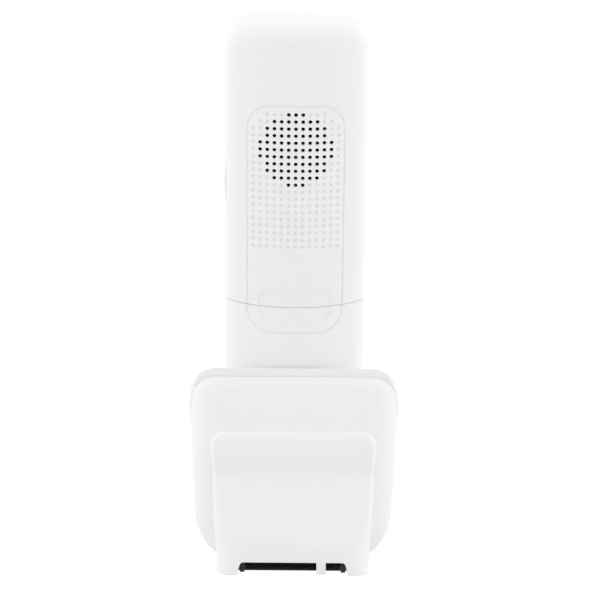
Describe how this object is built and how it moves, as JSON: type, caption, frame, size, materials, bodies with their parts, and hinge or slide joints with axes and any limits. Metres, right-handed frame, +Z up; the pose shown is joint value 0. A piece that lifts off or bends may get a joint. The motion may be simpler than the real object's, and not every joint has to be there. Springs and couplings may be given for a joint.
{
  "type": "cordless telephone handset in its base",
  "caption": "Slim cordless handset with a crowned, perforated back leaning in a bowed base on a waisted foot; keys, door, rocker and charging pins move.",
  "frame": {"origin": "on the table surface, under the middle of the bounding box", "axes": "+Z up, +Y towards the foot behind the base, so the keys face -Y; +X completes the right-handed frame"},
  "size_m": [0.0732, 0.0868, 0.1922],
  "materials": {
    "white_plastic": "fine satin moulding",
    "black_plastic": "fine spark-eroded texture",
    "grey_plastic": "satin",
    "key_plastic": "satin",
    "talk_green": "satin",
    "off_red": "satin",
    "window": "clear hard-coated acrylic",
    "display": "dark panel under a polariser",
    "rubber": "matt pads",
    "silicone": "translucent grey sheet",
    "board": "solder resist",
    "copper": "bare sheet",
    "steel": "nickel plated",
    "iron": "as cast",
    "cell_sleeve": "shrink sleeve",
    "cloth": "woven acoustic mesh"
  },
  "bodies": {
    "base": {"base_front_housing": "white_plastic", "base_rear_cover": "white_plastic", "base_plate": "black_plastic", "rubber_feet": "rubber", "ballast_weight": "iron", "power_jack": "black_plastic", "line_jack": "black_plastic", "base_board": "board"},
    "handset": {"handset_front_housing": "white_plastic", "handset_rear_housing": "white_plastic", "display_window": "window", "display_module": "display", "earpiece_receiver": "steel", "microphone": "steel", "main_board": "board", "keypad_membrane": "silicone", "antenna": "copper", "rear_loudspeaker": "black_plastic", "speaker_cloth": "cloth", "battery_cell_left": "cell_sleeve", "battery_cell_right": "cell_sleeve", "battery_contacts": "steel", "handset_charge_pads": "steel"},
    "door": {"battery_door": "white_plastic"},
    "rocker": {"volume_rocker": "grey_plastic"},
    "ring": {"navigation_ring": "grey_plastic"},
    "centre": {"centre_key": "grey_plastic"},
    "pin_left": {"contact_pin_left": "steel"},
    "pin_right": {"contact_pin_right": "steel"},
    "key_0_body": {"key_0": "key_plastic"},
    "key_1_body": {"key_1": "key_plastic"},
    "key_2_body": {"key_2": "key_plastic"},
    "key_3_body": {"key_3": "key_plastic"},
    "key_4_body": {"key_4": "key_plastic"},
    "key_5_body": {"key_5": "key_plastic"},
    "key_6_body": {"key_6": "key_plastic"},
    "key_7_body": {"key_7": "key_plastic"},
    "key_8_body": {"key_8": "key_plastic"},
    "key_9_body": {"key_9": "key_plastic"},
    "key_star_body": {"key_star": "key_plastic"},
    "key_hash_body": {"key_hash": "key_plastic"},
    "talk_key_body": {"talk_key": "talk_green"},
    "off_key_body": {"off_key": "off_red"},
    "soft_key_left_body": {"soft_key_left": "key_plastic"},
    "soft_key_right_body": {"soft_key_right": "key_plastic"}
  },
  "joints": [
    {"name": "handset_lift", "type": "slide", "parent": "base", "child": "handset", "axis": [0, 0.299, 0.9542], "range_m": [0, 0.075]},
    {"name": "battery_door_slide", "type": "slide", "parent": "handset", "child": "door", "axis": [0, -0.299, -0.9542], "range_m": [0, 0.003]},
    {"name": "volume_rocker_tilt", "type": "hinge", "parent": "handset", "child": "rocker", "pos_m": [0.02165, 0.01681, 0.13553], "axis": [0, 0.9542, -0.299], "range_deg": [-2.5, 2.5], "stiffness_Nm_per_rad": 0.12},
    {"name": "navigation_ring_tilt", "type": "hinge", "parent": "handset", "child": "ring", "pos_m": [0, -0.00636, 0.10071], "axis": [1, 0, 0], "range_deg": [-2.5, 2.5], "stiffness_Nm_per_rad": 0.12},
    {"name": "centre_key_press", "type": "slide", "parent": "handset", "child": "centre", "axis": [0, 0.9542, -0.299], "range_m": [0, 0.0006], "stiffness_N_per_m": 900},
    {"name": "key_0_press", "type": "slide", "parent": "handset", "child": "key_0_body", "axis": [0, 0.9542, -0.299], "range_m": [0, 0.0006], "stiffness_N_per_m": 900},
    {"name": "key_1_press", "type": "slide", "parent": "handset", "child": "key_1_body", "axis": [0, 0.9542, -0.299], "range_m": [0, 0.0006], "stiffness_N_per_m": 900},
    {"name": "key_2_press", "type": "slide", "parent": "handset", "child": "key_2_body", "axis": [0, 0.9542, -0.299], "range_m": [0, 0.0006], "stiffness_N_per_m": 900},
    {"name": "key_3_press", "type": "slide", "parent": "handset", "child": "key_3_body", "axis": [0, 0.9542, -0.299], "range_m": [0, 0.0006], "stiffness_N_per_m": 900},
    {"name": "key_4_press", "type": "slide", "parent": "handset", "child": "key_4_body", "axis": [0, 0.9542, -0.299], "range_m": [0, 0.0006], "stiffness_N_per_m": 900},
    {"name": "key_5_press", "type": "slide", "parent": "handset", "child": "key_5_body", "axis": [0, 0.9542, -0.299], "range_m": [0, 0.0006], "stiffness_N_per_m": 900},
    {"name": "key_6_press", "type": "slide", "parent": "handset", "child": "key_6_body", "axis": [0, 0.9542, -0.299], "range_m": [0, 0.0006], "stiffness_N_per_m": 900},
    {"name": "key_7_press", "type": "slide", "parent": "handset", "child": "key_7_body", "axis": [0, 0.9542, -0.299], "range_m": [0, 0.0006], "stiffness_N_per_m": 900},
    {"name": "key_8_press", "type": "slide", "parent": "handset", "child": "key_8_body", "axis": [0, 0.9542, -0.299], "range_m": [0, 0.0006], "stiffness_N_per_m": 900},
    {"name": "key_9_press", "type": "slide", "parent": "handset", "child": "key_9_body", "axis": [0, 0.9542, -0.299], "range_m": [0, 0.0006], "stiffness_N_per_m": 900},
    {"name": "key_star_press", "type": "slide", "parent": "handset", "child": "key_star_body", "axis": [0, 0.9542, -0.299], "range_m": [0, 0.0006], "stiffness_N_per_m": 900},
    {"name": "key_hash_press", "type": "slide", "parent": "handset", "child": "key_hash_body", "axis": [0, 0.9542, -0.299], "range_m": [0, 0.0006], "stiffness_N_per_m": 900},
    {"name": "talk_key_press", "type": "slide", "parent": "handset", "child": "talk_key_body", "axis": [0, 0.9542, -0.299], "range_m": [0, 0.0006], "stiffness_N_per_m": 900},
    {"name": "off_key_press", "type": "slide", "parent": "handset", "child": "off_key_body", "axis": [0, 0.9542, -0.299], "range_m": [0, 0.0006], "stiffness_N_per_m": 900},
    {"name": "soft_key_left_press", "type": "slide", "parent": "handset", "child": "soft_key_left_body", "axis": [0, 0.9542, -0.299], "range_m": [0, 0.0006], "stiffness_N_per_m": 900},
    {"name": "soft_key_right_press", "type": "slide", "parent": "handset", "child": "soft_key_right_body", "axis": [0, 0.9542, -0.299], "range_m": [0, 0.0006], "stiffness_N_per_m": 900},
    {"name": "contact_pin_left_press", "type": "slide", "parent": "base", "child": "pin_left", "axis": [0, -0.299, -0.9542], "range_m": [0, 0.0008], "stiffness_N_per_m": 300},
    {"name": "contact_pin_right_press", "type": "slide", "parent": "base", "child": "pin_right", "axis": [0, -0.299, -0.9542], "range_m": [0, 0.0008], "stiffness_N_per_m": 300}
  ]
}
